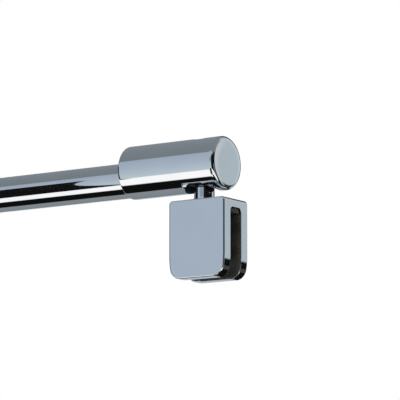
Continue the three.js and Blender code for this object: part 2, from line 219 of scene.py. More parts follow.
def extruded(name, outline, start, end, along="y", centre_x=0.0):
    """A plate with its outline upright: in XZ between two Y values, or in YZ between two X values."""
    bm = bmesh.new()
    ends = []
    for place in (start, end):
        if along == "y":
            ends.append([bm.verts.new((centre_x + a, place, b)) for a, b in outline])
        else:
            ends.append([bm.verts.new((place, a, b)) for a, b in outline])
    count = len(outline)
    for i in range(count):
        j = (i + 1) % count
        bm.faces.new((ends[0][i], ends[0][j], ends[1][j], ends[1][i]))
    bm.faces.new(ends[0])
    bm.faces.new(ends[1])
    return object_from(bm, name)


def rod(radius, start, end, axis="z", centre=(0, 0, 0), sides=96):
    """A plain round cutter."""
    return turned("cutter", [(0, start), (radius, start), (radius, end), (0, end)], axis, centre, sides)


def hexagon(across_flats, start, end, axis, centre):
    """A cutter for a hexagon socket."""
    return rod(across_flats / math.sqrt(3), start, end, axis, centre, 6)


def settle(piece):
    """Applies a piece's modifiers to its mesh."""
    bpy.context.view_layer.update()
    graph = bpy.context.evaluated_depsgraph_get()
    mesh = bpy.data.meshes.new_from_object(piece.evaluated_get(graph))
    piece.modifiers.clear()
    old = piece.data
    piece.data = mesh
    mesh.name = piece.name
    bpy.data.meshes.remove(old)


def cut(piece, cutters):
    for cutter in cutters:
        modifier = piece.modifiers.new("cut", "BOOLEAN")
        modifier.operation = "DIFFERENCE"
        modifier.solver = "EXACT"
        modifier.object = cutter
    settle(piece)
    for cutter in cutters:
        bpy.data.objects.remove(cutter)


def round_edges(piece, width, segments=3, over_degrees=35):
    """Rounds every edge where two faces meet at more than an angle."""
    modifier = piece.modifiers.new("edges", "BEVEL")
    modifier.width = width
    modifier.segments = segments
    modifier.limit_method = "ANGLE"
    modifier.angle_limit = math.radians(over_degrees)
    modifier.harden_normals = False
    settle(piece)
    shade(piece.data)


def keep_faces_flat(piece):
    """Shades each flat face flat, right up to the rounded edges beside it."""
    modifier = piece.modifiers.new("normals", "WEIGHTED_NORMAL")
    modifier.keep_sharp = True
    modifier.weight = 60
    settle(piece)


def threaded(name, radius, depth, start, end, axis, centre, pitch=THREAD_PITCH, tip=0.0, sides=40):
    """A solid threaded shank: its radius follows a helix, and it narrows over a length at its start."""
    steps_per_turn = 8
    fade_rows = 4  # the thread runs out over this many rows at each end
    point = 0.12  # the tip's radius, as a share of the shank's
    rows = max(2, round((end - start) / pitch * steps_per_turn))
    bm = bmesh.new()
    rings = [[bm.verts.new((0, 0, start))]]
    for row in range(rows + 1):
        along = start + (end - start) * row / rows
        taper = min(1.0, point + (1 - point) * (along - start) / tip) if tip else 1.0
        fade = min(1.0, row / fade_rows, (rows - row) / fade_rows)
        ring = []
        for i in range(sides):
            turn = (along / pitch - i / sides) % 1.0
            groove = abs(2 * turn - 1)
            r = (radius - depth * (1 - groove * fade)) * taper
            angle = 2 * math.pi * i / sides
            ring.append(bm.verts.new((r * math.cos(angle), r * math.sin(angle), along)))
        rings.append(ring)
    rings.append([bm.verts.new((0, 0, end))])
    for lower, upper in zip(rings, rings[1:]):
        join_rings(bm, lower, upper, sides)
    bm.transform(Matrix.Translation(centre) @ AXIS_TURNS[axis])
    return object_from(bm, name, sharp_degrees=60)


def joined(name, pieces):
    """Joins closed solids into one mesh object."""
    bm = bmesh.new()
    for piece in pieces:
        bm.from_mesh(piece.data)
        bpy.data.objects.remove(piece)
    mesh = bpy.data.meshes.new(name)
    bm.to_mesh(mesh)
    bm.free()
    result = bpy.data.objects.new(name, mesh)
    bpy.context.scene.collection.objects.link(result)
    return result


# ---- procedural materials ----


class Graph:
    """A node tree and short ways to add nodes to it."""

    def __init__(self, tree):
        self.nodes = tree.nodes
        self.links = tree.links

    def ramp(self, source, stops):
        """A colour for each value from 0 to 1. Each stop is (value, colour)."""
        node = self.nodes.new("ShaderNodeValToRGB")
        elements = node.color_ramp.elements
        while len(elements) < len(stops):
            elements.new(0.5)
        for element, (position, color) in zip(elements, stops):
            element.position = position
            element.color = (*color, 1.0)
        self.links.new(source, node.inputs["Fac"])
        return node.outputs["Color"]

    def span(self, source, low, high, from_low=0.0, from_high=1.0, kind="LINEAR"):
        """Maps a value from one range to another, and holds it at the ends."""
        node = self.nodes.new("ShaderNodeMapRange")
        node.interpolation_type = kind
        limits = {"From Min": from_low, "From Max": from_high, "To Min": low, "To Max": high}
        for socket, value in limits.items():
            node.inputs[socket].default_value = value
        self.links.new(source, node.inputs["Value"])
        return node.outputs["Result"]

    def math(self, operation, a, b):
        node = self.nodes.new("ShaderNodeMath")
        node.operation = operation
        for socket, value in zip(node.inputs, (a, b)):
            if isinstance(value, (int, float)):
                socket.default_value = value
            else:
                self.links.new(value, socket)
        return node.outputs["Value"]


class Shader(Graph):
    """A material's node tree."""

    def __init__(self, name):
        self.material = bpy.data.materials.new(name)
        self.material.use_nodes = True
        super().__init__(self.material.node_tree)
        self.surface = self.nodes["Principled BSDF"]
        self.place = self.nodes.new("ShaderNodeTexCoord").outputs["Object"]

    def put(self, **values):
        for socket, value in values.items():
            self.surface.inputs[socket.replace("_", " ")].default_value = value
        return self

    def stretched(self, scale):
        mapping = self.nodes.new("ShaderNodeMapping")
        mapping.inputs["Scale"].default_value = scale
        self.links.new(self.place, mapping.inputs["Vector"])
        return mapping.outputs["Vector"]

    def noise(self, scale, detail=4.0, stretch=(1, 1, 1), roughness=0.5):
        node = self.nodes.new("ShaderNodeTexNoise")
        node.inputs["Scale"].default_value = scale
        node.inputs["Detail"].default_value = detail
        node.inputs["Roughness"].default_value = roughness
        self.links.new(self.stretched(stretch), node.inputs["Vector"])
        return node.outputs["Fac"]

    def feed(self, socket, source):
        self.links.new(source, self.surface.inputs[socket])

    def bump(self, heights):
        """Stacks bumps. Each is (height source, strength, distance in metres)."""
        normal = None
        for source, strength, distance in heights:
            node = self.nodes.new("ShaderNodeBump")
            node.inputs["Strength"].default_value = strength
            node.inputs["Distance"].default_value = distance
            self.links.new(source, node.inputs["Height"])
            if normal is not None:
                self.links.new(normal, node.inputs["Normal"])
            normal = node.outputs["Normal"]
        self.feed("Normal", normal)

    def scratches(self, direction, density):
        """Thin streaks, 1 where there is a scratch, long in one direction."""
        streaks = self.noise(density, 2.0, direction, 0.6)
        patches = self.noise(45.0, 2.0)
        lines = self.span(streaks, 0.0, 1.0, 0.66, 0.70)
        return self.math("MULTIPLY", lines, self.span(patches, 0.0, 1.0, 0.52, 0.66))


def polished_chrome(name, stretch):
    """Bright plate: almost a mirror, with hairline wiping marks and faint smudges."""
    shader = Shader(name).put(Metallic=1.0)
    smudges = shader.noise(60.0, 5.0)
    fine = shader.noise(2400.0, 2.0, stretch)
    hairlines = shader.scratches(stretch, 1500.0)
    base = shader.span(smudges, 0.018, 0.045, 0.35, 0.75)
    rough = shader.math("ADD", base, shader.math("MULTIPLY", hairlines, 0.05))
    shader.feed("Roughness", rough)
    tone = shader.ramp(smudges, [(0.3, (0.90, 0.915, 0.93)), (0.7, (0.94, 0.95, 0.96))])
    shader.feed("Base Color", tone)
    shader.bump([(fine, 0.012, 0.00002), (hairlines, 0.02, 0.00001)])
    return shader.material


def machined_steel(name, tone, stretch, shine=0.24):
    """Bare or plated steel with tool marks, mottled where it has been handled."""
    shader = Shader(name).put(Metallic=1.0)
    marks = shader.noise(900.0, 3.0, stretch, 0.65)
    mottling = shader.noise(180.0, 5.0)
    wear = shader.math("ADD", marks, mottling)
    shader.feed("Roughness", shader.span(wear, shine - 0.08, shine + 0.16, 0.6, 1.4))
    dark = tuple(0.82 * value for value in tone)
    shader.feed("Base Color", shader.ramp(mottling, [(0.3, dark), (0.7, tone)]))
    shader.bump([(marks, 0.15, 0.00004), (mottling, 0.08, 0.00006)])
    return shader.material


def black_oxide(name):
    """Oiled black screw steel, browner and shinier where it has rubbed."""
    shader = Shader(name).put(Metallic=0.85)
    grain = shader.noise(1400.0, 4.0)
    rubbing = shader.noise(260.0, 4.0)
    tone = shader.ramp(rubbing, [(0.35, (0.018, 0.018, 0.02)), (0.72, (0.07, 0.062, 0.055))])
    shader.feed("Base Color", tone)
    shader.feed("Roughness", shader.span(rubbing, 0.52, 0.3, 0.35, 0.75))
    shader.bump([(grain, 0.2, 0.00003)])
    return shader.material


def dark_rubber(name):
    """Matt rubber with a moulded grain and a little dust."""
    shader = Shader(name).put(Metallic=0.0)
    grain = shader.noise(2200.0, 3.0)
    dust = shader.noise(140.0, 6.0)
    tone = shader.ramp(dust, [(0.4, (0.022, 0.021, 0.016)), (0.8, (0.055, 0.051, 0.041))])
    shader.feed("Base Color", tone)
    shader.feed("Roughness", shader.span(dust, 0.48, 0.72, 0.3, 0.75))
    shader.bump([(grain, 0.25, 0.00005), (dust, 0.1, 0.0001)])
    return shader.material


def moulded_nylon(name, tone, shadow):
    """Waxy moulded plastic with flow marks."""
    shader = Shader(name).put(Metallic=0.0)
    shader.surface.inputs["Subsurface Weight"].default_value = 0.15
    shader.surface.inputs["Subsurface Radius"].default_value = (0.002, 0.0018, 0.0015)
    flow = shader.noise(220.0, 3.0, (1, 1, 0.3))
    grain = shader.noise(1600.0, 3.0)
    shader.feed("Base Color", shader.ramp(flow, [(0.3, shadow), (0.7, tone)]))
    shader.feed("Roughness", shader.span(grain, 0.36, 0.56, 0.3, 0.7))
    shader.bump([(grain, 0.12, 0.00004), (flow, 0.1, 0.0001)])
    return shader.material


ALONG_X = (0.03, 1, 1)
ALONG_Z = (1, 1, 0.03)
TURNED_ON_X = (1, 0.05, 0.05)

MATERIALS = {
    "chrome": polished_chrome("chrome_along_bar", ALONG_X),
    "chrome_upright": polished_chrome("chrome_upright", ALONG_Z),
    # painted shade: a near-black metal for the head's bores and pocket, unplated steel made darker than any
    # bare metal
    "dark_bore_painted_shade": machined_steel("unplated_steel_with_painted_shade", (0.085, 0.09, 0.1), TURNED_ON_X, 0.4),
    "stainless": machined_steel("stainless_steel", (0.47, 0.48, 0.49), TURNED_ON_X),
    "zinc_steel": machined_steel("zinc_plated_steel", (0.45, 0.45, 0.41), TURNED_ON_X, 0.3),
    "black_steel": black_oxide("black_oxide_steel"),
    "rubber": dark_rubber("dark_rubber"),
    "nylon": moulded_nylon("natural_nylon", (0.72, 0.70, 0.62), (0.6, 0.58, 0.5)),
    "grey_nylon": moulded_nylon("grey_nylon", (0.27, 0.29, 0.30), (0.21, 0.225, 0.235)),
}

SLOT_OF = {row["node"]: row["material_slot"] for row in frame["record"]["subparts"]}
BODY_OF = {
    node: body
    for body, nodes in frame["record"]["behaviour"]["bodies"].items()
    for node in nodes
}


def stand_for(piece, node, look=None):
    """Puts a finished piece in the place of the CAD node that it shows."""
    slot = SLOT_OF[node]
    piece.name = node + "_visual"
    piece.data.name = piece.name
    piece.data.materials.clear()
    piece.data.materials.append(MATERIALS[look or slot])
    for polygon in piece.data.polygons:
        polygon.material_index = 0
    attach(piece, BODY_OF[node])
    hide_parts(node)


# ---- wall end ----

ROSE_LOW, ROSE_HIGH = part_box("cover_rose")
PLATE_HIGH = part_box("wall_plate")[1]
RIM_LOW, RIM_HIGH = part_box("plate_o_ring")
GRIP_LOW, GRIP_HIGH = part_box("rose_grip_ring")
TUBE_LOW, TUBE_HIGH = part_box("support_tube")
CORE_LOW, CORE_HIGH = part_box("tube_core")
RETAINER_LOW, RETAINER_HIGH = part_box("tube_retaining_screw")
RETAINER_X = (RETAINER_LOW.x + RETAINER_HIGH.x) / 2
WALL_SCREWS = [node for node in frame["nodes"] if node.startswith("wall_screw_")]
PLATE_THICKNESS = 3.5 * MM
SPIGOT_RADIUS = CORE_HIGH.y
GRIP_BORE = GRIP_HIGH.y - 2.0 * MM


def cover_rose():
    radius = ROSE_HIGH.y
    front = ROSE_HIGH.x
    back = ROSE_LOW.x
    inside = radius - ROSE_WALL
    ceiling = front - ROSE_WALL
    collar_bore = GRIP_HIGH.y + GAP
    collar_end = GRIP_LOW.x - GAP
    lip = 0.3 * MM
    corner = 1 * MM
    profile = [
        (inside, back + lip),
        *arc((inside + lip, back + lip), lip, 180, 270, 3),
        *arc((radius - lip, back + lip), lip, 270, 360, 4),
        *arc((radius - ROSE_FILLET, front - ROSE_FILLET), ROSE_FILLET, 0, 90, 14),
        *arc((GRIP_BORE + lip, front - lip), lip, 90, 180, 5),
        (GRIP_BORE, ceiling),
        (collar_bore, ceiling),
        (collar_bore, collar_end),
        (ROSE_COLLAR_RADIUS, collar_end),
        (ROSE_COLLAR_RADIUS, ceiling),
        *arc((inside - corner, ceiling - corner), corner, 90, 0, 5),
    ]
    stand_for(turned("rose", profile, "x", sides=192), "cover_rose")


def wall_plate():
    radius = PLATE_HIGH.y
    groove_radius = 19.2 * MM
    groove_half = 1.2 * MM
    groove = (RIM_LOW.x + RIM_HIGH.x) / 2
    edge = 0.25 * MM
    spigot_edge = 1 * MM
    profile = [
        (0, 0),
        *arc((radius - edge, edge), edge, -90, 0, 3),
        (radius, groove - groove_half),
        (groove_radius, groove - groove_half),
        (groove_radius, groove + groove_half),
        (radius, groove + groove_half),
        *arc((radius - edge, PLATE_THICKNESS - edge), edge, 0, 90, 3),
        (SPIGOT_RADIUS, PLATE_THICKNESS),
        *arc((SPIGOT_RADIUS - spigot_edge, PLATE_HIGH.x - spigot_edge), spigot_edge, 0, 90, 6),
        (0, PLATE_HIGH.x),
    ]
    plate = turned("plate", profile, "x", sides=128)
    hole_end = -2 * MM
    cutters = [rod(M5_HOLE_RADIUS, -SPIGOT_RADIUS - OVERCUT, hole_end, "z", (RETAINER_X, 0, 0), 48)]
    mouth = 4.5 * MM
    throat = 2.3 * MM
    for node in WALL_SCREWS:
        low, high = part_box(node)
        middle = (low + high) / 2
        hole = [
            (0, -OVERCUT),
            (throat, -OVERCUT),
            (throat, PLATE_THICKNESS - (mouth - throat)),
            (mouth, PLATE_THICKNESS),
            (mouth, PLATE_THICKNESS + OVERCUT),
            (0, PLATE_THICKNESS + OVERCUT),
        ]
        cutters.append(turned("cutter", hole, "x", (0, middle.y, middle.z), 48))
    cut(plate, cutters)
    shade(plate.data)
    stand_for(plate, "wall_plate")


def wall_screw(node):
    """A countersunk wood screw: a coarse tapering thread, a plain neck and a cross recess."""
    low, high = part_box(node)
    place = (0, (low.y + high.y) / 2, (low.z + high.z) / 2)
    head_radius = (high.y - low.y) / 2
    shank_radius = 2.0 * MM
    neck_radius = 1.5 * MM
    cone_start = high.x - (head_radius - shank_radius)
    thread_end = cone_start - 3 * MM
    coarse_pitch = 1.8 * MM
    coarse_depth = 0.55 * MM
    tip = 5 * MM
    thread = threaded(
        "thread", shank_radius, coarse_depth, low.x, thread_end, "x", place, coarse_pitch, tip, 32
    )
    head = turned("head", [
        (0, thread_end - 0.4 * MM),
        (neck_radius, thread_end - 0.4 * MM),
        (neck_radius, cone_start - 0.3 * MM),
        (shank_radius, cone_start),
        (head_radius - 0.1 * MM, high.x - 0.25 * MM),
        (head_radius, high.x - 0.12 * MM),
        (head_radius - 0.12 * MM, high.x),
        (0, high.x),
    ], "x", place, 64)
    cut(head, [cross_cutter(high.x, place, head_radius * 0.6, turn) for turn in (0, 90)])
    screw = joined(node, [thread, head])
    shade(screw.data, 40)
    stand_for(screw, node)


def cross_cutter(top, place, arm, turn):
    """One bar of a cross recess, narrower at its floor."""
    bm = bmesh.new()
    levels = []
    for depth, length, half in ((-0.5 * MM, arm * 1.1, 0.6 * MM), (2.0 * MM, arm * 0.45, 0.3 * MM)):
        corners = [(-length, -half), (length, -half), (length, half), (-length, half)]
        levels.append([bm.verts.new((top - depth, a, b)) for a, b in corners])
    for i in range(4):
        j = (i + 1) % 4
        bm.faces.new((levels[0][i], levels[0][j], levels[1][j], levels[1][i]))
    bm.faces.new(levels[0])
    bm.faces.new(levels[1])
    bm.transform(Matrix.Translation(place) @ Matrix.Rotation(math.radians(turn), 4, "X"))
    return object_from(bm, "cutter")


def wall_plug(node):
    """A moulded plug: a collar, saw-tooth ribs and a split nose."""
    low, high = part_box(node)
    place = (0, (low.y + high.y) / 2, (low.z + high.z) / 2)
    bore = 2.3 * MM
    root = 2.95 * MM
    crest = 3.4 * MM
    collar = (high.y - low.y) / 2
    rib_count = 9
    rib_step = 2.3 * MM
    first_rib = high.x - 3.2 * MM
    outside = [(collar, high.x - 0.2 * MM), (collar, high.x - 0.9 * MM), (crest, high.x - 1.2 * MM)]
    for i in range(rib_count):
        rib = first_rib - i * rib_step
        outside += [(crest, rib), (root, rib - 0.25 * MM), (crest, rib - rib_step + 0.6 * MM)]
    nose = [(root, low.x + 3 * MM), (bore + 0.45 * MM, low.x)]
    profile = [(bore, high.x), (collar - 0.2 * MM, high.x), *outside, *nose, (bore, low.x)]
    plug = turned("plug", profile, "x", place, 64)
    slit_end = low.x + 12 * MM
    slit_reach = 5 * MM
    slit_half = 0.3 * MM
    around = ((-1, -1), (1, -1), (1, 1), (-1, 1))
    cut(plug, [
        extruded(
            "cutter",
            [(a * y + place[1], b * z + place[2]) for a, b in around],
            low.x - OVERCUT,
            slit_end,
            "x",
        )
        for y, z in ((slit_reach, slit_half), (slit_half, slit_reach))
    ])
    shade(plug.data)
    stand_for(plug, node)


def rubber_rings():
    section = (RIM_HIGH.x - RIM_LOW.x) / 2
    middle = (RIM_LOW.x + RIM_HIGH.x) / 2
    rim = turned("o_ring", arc((RIM_HIGH.y - section, middle), section, 0, 345, 23), "x", sides=128)
    stand_for(rim, "plate_o_ring")
    profile = ring_profile(GRIP_BORE, GRIP_HIGH.y, GRIP_LOW.x, GRIP_HIGH.x, 0.45 * MM)
    grip = turned("grip", profile, "x", sides=128)
    stand_for(grip, "rose_grip_ring")


def set_screw(node, axis, socket_side, hex_across):
    """A headless screw with a thread, a cup end and a hexagon socket. socket_side is 1 where the
    socket is at the end that is further along the axis, and -1 at the other end."""
    low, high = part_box(node)
    index = "xyz".index(axis)
    middle = (low + high) / 2
    place = Vector(middle)
    place[index] = 0
    start, end = low[index], high[index]
    across = "xyz"[(index + 1) % 3]
    radius = (getattr(high, across) - getattr(low, across)) / 2
    outer, inner = (end, start) if socket_side > 0 else (start, end)
    screw = threaded(node, radius, THREAD_DEPTH, start, end, axis, place, sides=48)
    socket_depth = (end - start) / 2
    socket_ends = sorted((outer - socket_side * socket_depth, outer + socket_side * OVERCUT))
    socket = hexagon(hex_across, *socket_ends, axis, place)
    cup_depth = 0.5 * MM
    cup_radius = 0.45 * radius
    cup_ends = sorted((inner - socket_side * OVERCUT, inner + socket_side * cup_depth))
    cup = rod(cup_radius, *cup_ends, axis, place, 32)
    cut(screw, [socket, cup])
    shade(screw.data, 40)
    stand_for(screw, node)


# ---- tube ----


def support_tube():
    outer = TUBE_HIGH.y
    inner = outer - TUBE_WALL
    edge = 0.25 * MM
    margin = 1 * MM
    ring_step = 6 * MM
    profile = [
        *arc((outer - edge, TUBE_LOW.x + edge), edge, -90, 0, 4),
        *spaced((outer, TUBE_LOW.x + margin), (outer, TUBE_HIGH.x - margin), ring_step),
        *arc((outer - edge, TUBE_HIGH.x - edge), edge, 0, 90, 4),
        (inner, TUBE_HIGH.x),
        (inner, TUBE_LOW.x),
    ]
    tube = turned("tube", profile, "x", sides=192)
    hole_end = -outer + 2 * TUBE_WALL
    cut(tube, [rod(M5_HOLE_RADIUS, -outer - OVERCUT, hole_end, "z", (RETAINER_X, 0, 0), 48)])
    shade(tube.data)
    stand_for(tube, "support_tube")


def tube_core():
    radius = CORE_HIGH.y
    edge = 1 * MM
    profile = [
        (0, CORE_LOW.x),
        *arc((radius - edge, CORE_LOW.x + edge), edge, -90, 0, 5),
        *arc((radius - edge, CORE_HIGH.x - edge), edge, 0, 90, 5),
        (0, CORE_HIGH.x),
    ]
    stand_for(turned("core", profile, "x", sides=96), "tube_core")


# ---- head ----


def head_body():
    """The head: a cylinder with a filleted, slightly domed outer face, and its bores and pocket."""
    shoulder = HEAD_RADIUS - HEAD_FILLET
    rim = HEAD_HIGH.x - FACE_CROWN
    edge = 0.7 * MM
    dome_width = shoulder - FACE_FLAT_RADIUS
    slope = math.degrees(math.atan(2 * FACE_CROWN / dome_width))
    fillet = arc((shoulder, rim - HEAD_FILLET), HEAD_FILLET, 0, 90 - slope, 16)
    steps = 12
    dome = [
        (FACE_FLAT_RADIUS + dome_width * (1 - i / steps), HEAD_HIGH.x - FACE_CROWN * (1 - i / steps) ** 2)
        for i in range(1, steps + 1)
    ]
    side = spaced((HEAD_RADIUS, HEAD_LOW.x + 2 * edge), (HEAD_RADIUS, rim - HEAD_FILLET - edge), 1.2 * MM)
    profile = [
        (0, HEAD_LOW.x),
        *arc((HEAD_RADIUS - edge, HEAD_LOW.x + edge), edge, -90, 0, 5),
        *side,
        *fillet,
        *dome,
        (0, HEAD_HIGH.x),
    ]
    head = turned("head", profile, "x", (0, 0, HEAD_Z), 256)
    above = HEAD_RADIUS + OVERCUT
    pivot = (PIVOT_X, 0, HEAD_Z)
    screw_low, screw_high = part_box("head_set_screw")
    screw_x = (screw_low.x + screw_high.x) / 2
    cut(head, [
        rod(SOCKET_RADIUS, HEAD_LOW.x - OVERCUT, HEAD_LOW.x + SOCKET_DEPTH, "x", sides=192),
        rod(M6_HOLE_RADIUS, 0, above + HEAD_Z, "z", (screw_x, 0, 0), 64),
        rod(PIVOT_BORE_RADIUS, -above, above, "z", pivot, 64),
        rod(COUNTERBORE_RADIUS, COUNTERBORE_FLOOR, above, "z", pivot, 128),
        rod(POCKET_RADIUS, -above, POCKET_FLOOR, "z", pivot, 192),
    ])
    round_edges(head, 0.12 * MM, segments=2, over_degrees=38)
    keep_faces_flat(head)
    stand_for(head, "head_body")
    # The bores and pocket take a near-black metal. It is unplated steel, darkened further with painted
    # shade for the inside of these recesses.
    head.data.materials.append(MATERIALS["dark_bore_painted_shade"])
    for polygon in head.data.polygons:
        centre = polygon.center
        from_axis = math.hypot(centre.y, centre.z - HEAD_Z)
        inside = from_axis < HEAD_RADIUS - edge and HEAD_LOW.x + edge < centre.x < rim - HEAD_FILLET
        polygon.material_index = int(inside)


def pivot_screw():
    """A cap screw: a knurled head with a hexagon socket, and a threaded shank."""
    low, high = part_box("pivot_screw")
    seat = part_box("pivot_washer")[1].z + GAP
    radius = (high.y - low.y) / 2
    place = (PIVOT_X, 0, 0)
    shank_radius = 3.0 * MM
    knurl_count = 48
    knurl_depth = 0.02  # as a share of the head's radius
    head = turned("head", [
        (0, seat - 0.1 * MM),
        (shank_radius, seat - 0.1 * MM),
        (radius - 0.15 * MM, seat),
        (radius, seat + 0.15 * MM),
        *spaced((radius, seat + 0.5 * MM), (radius, high.z - 0.6 * MM), 0.8 * MM),
        *arc((radius - 0.5 * MM, high.z - 0.5 * MM), 0.5 * MM, 20, 90, 5),
        (0, high.z),
    ], "z", place, knurl_count * 2)
    for vertex in head.data.vertices:
        across = Vector((vertex.co.x - PIVOT_X, vertex.co.y))
        on_side = abs(across.length - radius) < 1e-6 and seat + 0.3 * MM < vertex.co.z
        turn = math.atan2(across.y, across.x) / (2 * math.pi) * knurl_count
        if on_side and abs(turn - round(turn)) > 0.25:
            vertex.co.x -= across.x * knurl_depth
            vertex.co.y -= across.y * knurl_depth
    socket_depth = 3 * MM
    cut(head, [hexagon(CAP_HEX, high.z - socket_depth, high.z + OVERCUT, "z", place)])
    shank = threaded("shank", shank_radius, THREAD_DEPTH, low.z, seat - 0.05 * MM, "z", place, sides=48)
    screw = joined("pivot_screw", [head, shank])
    shade(screw.data, 40)
    stand_for(screw, "pivot_screw")


def sleeve(node, inner, edge, look=None):
    """A ring standing on the pivot axis: a bush, a washer or the clamp's neck."""
    low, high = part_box(node)
    profile = ring_profile(inner, (high.y - low.y) / 2, low.z, high.z, edge)
    stand_for(turned(node, profile, "z", (PIVOT_X, 0, 0), 160), node, look)


# ---- clamp ----


def clamp_outline(steps=14):
    """The right half of the clamp's outline from the bottom up, then the left half back down."""
    half_width = (CLAMP_HIGH.x - CLAMP_LOW.x) / 2
    inset = SIDE_LEAN_HEIGHT * math.tan(SIDE_LEAN) / 2
    corner_x = half_width - inset - BOTTOM_CORNER * math.cos(SIDE_LEAN)
    corner_z = CLAMP_LOW.z + BOTTOM_CORNER
    lean_end = corner_z - BOTTOM_CORNER * math.sin(SIDE_LEAN)
    top = (half_width - TOP_CORNER, CLAMP_HIGH.z - TOP_CORNER)
    right = arc((corner_x, corner_z), BOTTOM_CORNER, -90, -math.degrees(SIDE_LEAN), steps)
    for i in range(1, steps + 1):
        done = i / steps
        right.append((half_width - inset * (1 - done) ** 2, lean_end + SIDE_LEAN_HEIGHT * done))
    right += arc(top, TOP_CORNER, 0, 90, steps)
    left = [(-across, up) for across, up in reversed(right)]
    return right + left


def clamp_body():
    """The U-shaped clamp, with rounded corners and edges, its slot and what is cut inside it."""
    half_depth = (CLAMP_HIGH.y - CLAMP_LOW.y) / 2
    slot_top = CLAMP_HIGH.z - ROOF_THICKNESS
    body = extruded("clamp", clamp_outline(), -half_depth, half_depth, "y", CLAMP_X)
    round_edges(body, CLAMP_EDGE, segments=5, over_degrees=40)
    below = CLAMP_LOW.z - 5 * MM
    slot = rounded_outline(SLOT_HALF_WIDTH, below, slot_top, 0.5 * MM, SLOT_CORNER, 8)
    cut(body, [extruded("cutter", slot, CLAMP_LOW.x - OVERCUT, CLAMP_HIGH.x + OVERCUT, "x")])
    round_edges(body, SLOT_EDGE, over_degrees=60)

    plate_low, plate_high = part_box("pressure_plate")
    recess = rounded_outline(
        (plate_high.x - plate_low.x) / 2 + GAP,
        plate_low.z - GAP,
        plate_high.z + GAP,
        PLATE_CORNER,
        PLATE_CORNER,
    )
    cutters = [
        extruded("cutter", recess, SLOT_HALF_WIDTH - OVERCUT, SLOT_HALF_WIDTH + RECESS_DEPTH, "y", CLAMP_X),
        rod(M6_HOLE_RADIUS, slot_top - OVERCUT, CLAMP_HIGH.z + OVERCUT, "z", (PIVOT_X, 0, 0), 64),
    ]
    for node in ("clamp_screw_upper", "clamp_screw_lower"):
        low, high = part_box(node)
        middle = (low + high) / 2
        place = (middle.x, 0, middle.z)
        cutters.append(rod(M6_HOLE_RADIUS, SLOT_HALF_WIDTH, half_depth + OVERCUT, "y", place, 64))
    cut(body, cutters)
    round_edges(body, 0.08 * MM, segments=2, over_degrees=50)
    keep_faces_flat(body)
    stand_for(body, "clamp_body", "chrome_upright")


def pad(node):
    """A flat rubber pad with a softly rounded edge."""
    low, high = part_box(node)
    outline = rounded_outline((high.x - low.x) / 2, low.z, high.z, PAD_CORNER, 0.5 * MM, 10)
    piece = extruded(node, outline, low.y, high.y, "y", CLAMP_X)
    round_edges(piece, PAD_EDGE)
    stand_for(piece, node)


def roof_pad():
    low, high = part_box("roof_pad")
    outline = rounded_outline((high.y - low.y) / 2, low.z, high.z, 0.4 * MM, ROOF_PAD_CORNER, 5)
    piece = extruded("roof_pad", outline, low.x, high.x, "x")
    round_edges(piece, PAD_EDGE)
    stand_for(piece, "roof_pad")


def pressure_plate():
    low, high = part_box("pressure_plate")
    outline = rounded_outline((high.x - low.x) / 2, low.z, high.z, PLATE_CORNER, PLATE_CORNER, 8)
    piece = extruded("pressure_plate", outline, low.y, high.y, "y", CLAMP_X)
    round_edges(piece, 0.12 * MM)
    stand_for(piece, "pressure_plate")


# ---- studio ----

CAMERA_AZIMUTH = math.radians(33.98)
CAMERA_ELEVATION = math.radians(-9.04)
CAMERA_DISTANCE = 1.4987
CAMERA_TARGET = Vector((PIVOT_X - 2.7 * MM, 0, HEAD_Z - 18.16 * MM))
CAMERA_LENS = 257.5
FLOOR_Z = -1.3
FLOOR_HALF_WIDTH = 6.0
CARD_Y = -0.3
CARD_BOTTOM = -0.19
CARD_TOP = 0.12
CARD_LEFT = -1.5
CARD_RIGHT_BOTTOM = 0.125  # its right edge leans
CARD_RIGHT_TOP = 0.105
BACKDROP = (1.0, 1.0, 1.0)
FLAG_EDGE = 0.015

# Tints of the studio's cards: the red, green and blue in one unit of brightness.
PLAIN = (0.97, 1.0, 1.03)
COOL = (0.935, 1.0, 1.04)
BLUE = (0.925, 1.0, 1.085)
DEEP_BLUE = (0.7, 1.0, 1.33)
WHITE = (1.0, 1.0, 1.0)

# What bright metal mirrors, by the direction round the bar in degrees: 0 is the front, 90 is up and
# -90 is down. Each row is (degrees, tint, brightness as it looks on screen, 0 to 255).
REFLECTION_BANDS = [
    (-180, COOL, 180),
    (-165, COOL, 195),
    (-160, COOL, 115),
    (-148, COOL, 135),
    (-106, PLAIN, 140),
    (-104, PLAIN, 15),
    (-63, PLAIN, 15),
    (-60, WHITE, 255),
    (-32, WHITE, 255),
    (-30, COOL, 200),
    (10, BLUE, 180),
    (44, BLUE, 170),
    (46, COOL, 125),
    (90, COOL, 130),
    (150, COOL, 140),
    (180, COOL, 160),
]

# Flags and panels that interrupt the bands, in the order that they are put up. A flag is a box of
# direction (tint, brightness, x, y and z range); a panel is round (tint, brightness, direction, cosine
# of the angle to its outer edge, and to the end of its soft edge).
FLAGS = [
    (PLAIN, 20, (0.0, 2), (-0.9, 0.9), (-2, -0.74)),  # dark floor below
    (PLAIN, 20, (-0.5, 0.3), (-2, 0.25), (-0.74, -0.43)),  # dark gap above its front edge
    (WHITE, 255, (0.3, 2), (-2, 0.25), (-0.74, -0.43)),  # low white panel, front and right
    (PLAIN, 185, (0.2, 0.62), (0.5, 0.96), (0.3, 0.78)),  # pale panel behind, high
    (PLAIN, 85, (-0.5, 0.2), (0.5, 0.96), (0.3, 0.78)),  # grey card beside it
    (PLAIN, 20, (-0.5, 2), (0.1, 2), (0.06, 0.33)),  # black flag behind
    (PLAIN, 20, (0.44, 2), (-2, 0.1), (-0.43, 0.45)),  # black flag on the right
    (PLAIN, 25, (-2, -0.66), (-2, 0.3), (0.06, 0.33)),  # black flag on the left
    (DEEP_BLUE, 50, (-2, -0.58), (0.3, 2), (0.06, 0.33)),  # blue flag behind on the left
    (BLUE, 150, (-0.3, 0.44), (-2, -0.7), (0.06, 0.33)),  # dim card in front
]
